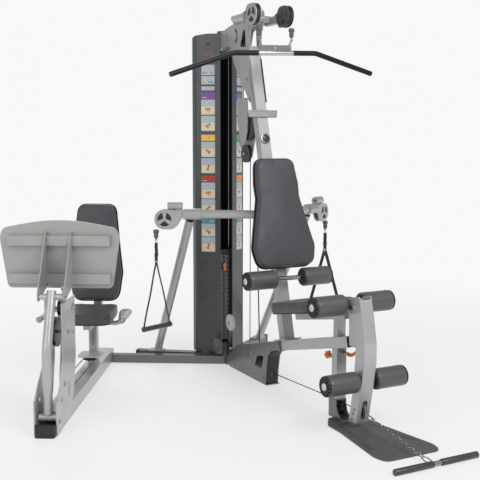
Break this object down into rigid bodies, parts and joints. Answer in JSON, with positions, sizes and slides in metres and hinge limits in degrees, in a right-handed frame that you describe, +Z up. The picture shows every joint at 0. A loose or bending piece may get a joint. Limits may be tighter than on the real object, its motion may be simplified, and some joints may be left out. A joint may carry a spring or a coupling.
{
  "type": "multi station home gym",
  "caption": "Multi station home gym with a shrouded weight stack, overhead and mid height cable heads, a seat with leg developer, and a side leg press.",
  "frame": {"origin": "on the floor, below the front edge of the main bracket, on the machine's centre plane", "axes": "+Z up, -Y the way the main seat faces, +X to the side away from the leg press"},
  "size_m": [2.1207, 2.3804, 2.113],
  "materials": {
    "frame_silver": "satin silver paint",
    "dark_steel": "glossy gunmetal paint",
    "foot_paint": "matte grey texture paint",
    "shroud_plastic": "fine grained graphite plastic",
    "dark_plastic": "matte black plastic",
    "pad_vinyl": "charcoal vinyl",
    "foam": "closed cell foam",
    "bright_steel": "bright plated",
    "bar_steel": "black coated with bright centre",
    "weight_iron": "dark cast iron",
    "orange_grip": "glossy orange",
    "pulley_plastic": "black nylon",
    "webbing": "black webbing",
    "cable_coat": "black coated wire"
  },
  "bodies": {
    "frame": {"spine_column": "frame_silver", "top_arm": "frame_silver", "press_crossbar": "frame_silver", "brace_tubes": "frame_silver", "seat_beam": "frame_silver", "front_post": "frame_silver", "front_hanger": "frame_silver", "leg_press_rail": "frame_silver", "leg_press_uprights": "frame_silver", "leg_press_seat_frame": "frame_silver", "pulley_block": "frame_silver", "main_bracket": "dark_steel", "tower_base": "dark_steel", "rear_legs": "dark_steel", "link_beam": "dark_steel", "low_pulley_bracket": "dark_steel", "left_shroud": "shroud_plastic", "right_shroud": "shroud_plastic", "black_covers": "dark_plastic", "foot_platform": "dark_plastic", "foot_caps": "dark_plastic", "column_plates": "dark_plastic", "back_pad": "pad_vinyl", "leg_press_seat": "pad_vinyl", "leg_press_back_pad": "pad_vinyl", "guide_rods": "bright_steel", "roller_shafts": "bright_steel", "frame_bolts": "bright_steel", "resting_weights": "weight_iron", "frame_pulleys": "pulley_plastic", "frame_cables": "cable_coat"},
    "weights": {"weight_head": "weight_iron", "lifted_weights": "weight_iron", "stack_cable": "cable_coat"},
    "pin": {"selector_pin": "orange_grip"},
    "left_top": {"left_top_head": "frame_silver"},
    "right_top": {"right_top_head": "dark_steel"},
    "left_top_roller": {"left_top_wheel": "pulley_plastic"},
    "right_top_roller": {"right_top_wheel": "pulley_plastic"},
    "left_press": {"left_press_head": "frame_silver"},
    "right_press": {"right_press_head": "frame_silver"},
    "left_press_roller": {"left_press_wheel": "pulley_plastic"},
    "right_press_roller": {"right_press_wheel": "pulley_plastic"},
    "left_grip": {"left_handle": "webbing"},
    "right_grip": {"right_handle": "webbing"},
    "lat": {"lat_bar": "bar_steel", "lat_links": "bright_steel"},
    "seat": {"seat_cushion": "pad_vinyl", "seat_carriage": "frame_silver"},
    "star": {"star_knob": "orange_grip"},
    "latch": {"seat_latch": "orange_grip"},
    "thigh": {"thigh_rollers": "foam"},
    "knee": {"knee_rollers": "foam"},
    "ankle": {"ankle_rollers": "foam"},
    "developer": {"leg_developer": "frame_silver"},
    "row": {"row_bar": "bar_steel"},
    "swing": {"swing_arm": "frame_silver"},
    "plate": {"foot_plate": "foot_paint"},
    "link": {"levelling_link": "frame_silver"},
    "crown": {"crown_pulley": "pulley_plastic"}
  },
  "joints": [
    {"name": "weight_slide", "type": "slide", "parent": "frame", "child": "weights", "axis": [0, 0, 1], "range_m": [0, 0.9], "deforming": ["stack_cable"]},
    {"name": "selector_pin_pull", "type": "slide", "parent": "weights", "child": "pin", "axis": [0, -1, 0], "range_m": [0, 0.11]},
    {"name": "left_top_swivel", "type": "hinge", "parent": "frame", "child": "left_top", "pos_m": [-0.1, 0.041, 2.054], "axis": [0, 1, 0], "range_deg": [-35, 35]},
    {"name": "left_top_wheel_spin", "type": "hinge", "parent": "left_top", "child": "left_top_roller", "pos_m": [-0.1, 0.041, 2.054], "axis": [1, 0, 0], "continuous": true},
    {"name": "left_press_swivel", "type": "hinge", "parent": "frame", "child": "left_press", "pos_m": [-0.388, 0.223, 0.969], "axis": [-0.8571, 0.5151, 0], "range_deg": [-18, 45]},
    {"name": "left_press_wheel_spin", "type": "hinge", "parent": "left_press", "child": "left_press_roller", "pos_m": [-0.52084, 0.30283, 0.939], "axis": [-0.5151, -0.8571, 0], "continuous": true},
    {"name": "left_handle_swing", "type": "hinge", "parent": "left_press", "child": "left_grip", "pos_m": [-0.56368, 0.32858, 0.899], "axis": [-0.5151, -0.8571, 0], "range_deg": [-5, 12]},
    {"name": "right_top_swivel", "type": "hinge", "parent": "frame", "child": "right_top", "pos_m": [0.1, 0.041, 2.054], "axis": [0, 1, 0], "range_deg": [-35, 35]},
    {"name": "right_top_wheel_spin", "type": "hinge", "parent": "right_top", "child": "right_top_roller", "pos_m": [0.1, 0.041, 2.054], "axis": [1, 0, 0], "continuous": true},
    {"name": "right_press_swivel", "type": "hinge", "parent": "frame", "child": "right_press", "pos_m": [0.388, 0.223, 0.969], "axis": [0.8571, 0.5151, 0], "range_deg": [-45, 18]},
    {"name": "right_press_wheel_spin", "type": "hinge", "parent": "right_press", "child": "right_press_roller", "pos_m": [0.52084, 0.30283, 0.939], "axis": [-0.5151, 0.8571, 0], "continuous": true},
    {"name": "right_handle_swing", "type": "hinge", "parent": "right_press", "child": "right_grip", "pos_m": [0.56368, 0.32858, 0.899], "axis": [-0.5151, 0.8571, 0], "range_deg": [-12, 12]},
    {"name": "lat_bar_swing", "type": "hinge", "parent": "frame", "child": "lat", "pos_m": [0, -0.02, 1.984], "axis": [1, 0, 0], "range_deg": [-15, 15]},
    {"name": "seat_height", "type": "slide", "parent": "frame", "child": "seat", "axis": [0, 0, 1], "range_m": [0, 0.04]},
    {"name": "star_knob_turn", "type": "hinge", "parent": "frame", "child": "star", "pos_m": [0, -0.574, 0.305], "axis": [0, 1, 0], "range_deg": [0, 180]},
    {"name": "seat_latch_pull", "type": "slide", "parent": "frame", "child": "latch", "axis": [0, -1, 0], "range_m": [0, 0.012], "stiffness_N_per_m": 900},
    {"name": "thigh_roller_spin", "type": "hinge", "parent": "frame", "child": "thigh", "pos_m": [0, -0.176, 0.637], "axis": [1, 0, 0], "continuous": true},
    {"name": "knee_roller_spin", "type": "hinge", "parent": "frame", "child": "knee", "pos_m": [0, -0.774, 0.6], "axis": [1, 0, 0], "continuous": true},
    {"name": "developer_swing", "type": "hinge", "parent": "frame", "child": "developer", "pos_m": [0, -0.835, 0.597], "axis": [-1, 0, 0], "range_deg": [0, 55]},
    {"name": "ankle_roller_spin", "type": "hinge", "parent": "developer", "child": "ankle", "pos_m": [0, -0.888, 0.25], "axis": [1, 0, 0], "continuous": true},
    {"name": "row_bar_hang", "type": "hinge", "parent": "developer", "child": "row", "pos_m": [0, -0.892, 0.09], "axis": [-1, 0, 0], "range_deg": [-55, 0]},
    {"name": "press_swing", "type": "hinge", "parent": "frame", "child": "swing", "pos_m": [-1.3395, -0.2193, 0.078], "axis": [0.866, -0.5, 0], "range_deg": [0, 30]},
    {"name": "foot_plate_level", "type": "hinge", "parent": "swing", "child": "plate", "pos_m": [-1.283, -0.12144, 0.635], "axis": [0.866, -0.5, 0], "range_deg": [-30, 0]},
    {"name": "levelling_link_swing", "type": "hinge", "parent": "frame", "child": "link", "pos_m": [-1.26909, -0.17334, 0.108], "axis": [0.866, -0.5, 0], "range_deg": [0, 30]},
    {"name": "crown_pulley_spin", "type": "hinge", "parent": "frame", "child": "crown", "pos_m": [0, 0.403, 1.976], "axis": [1, 0, 0], "continuous": true}
  ],
  "couplings": [
    {"joint": "row_bar_hang", "follows": "developer_swing", "ratio": -1},
    {"joint": "foot_plate_level", "follows": "press_swing", "ratio": -1},
    {"joint": "levelling_link_swing", "follows": "press_swing", "ratio": 1}
  ]
}
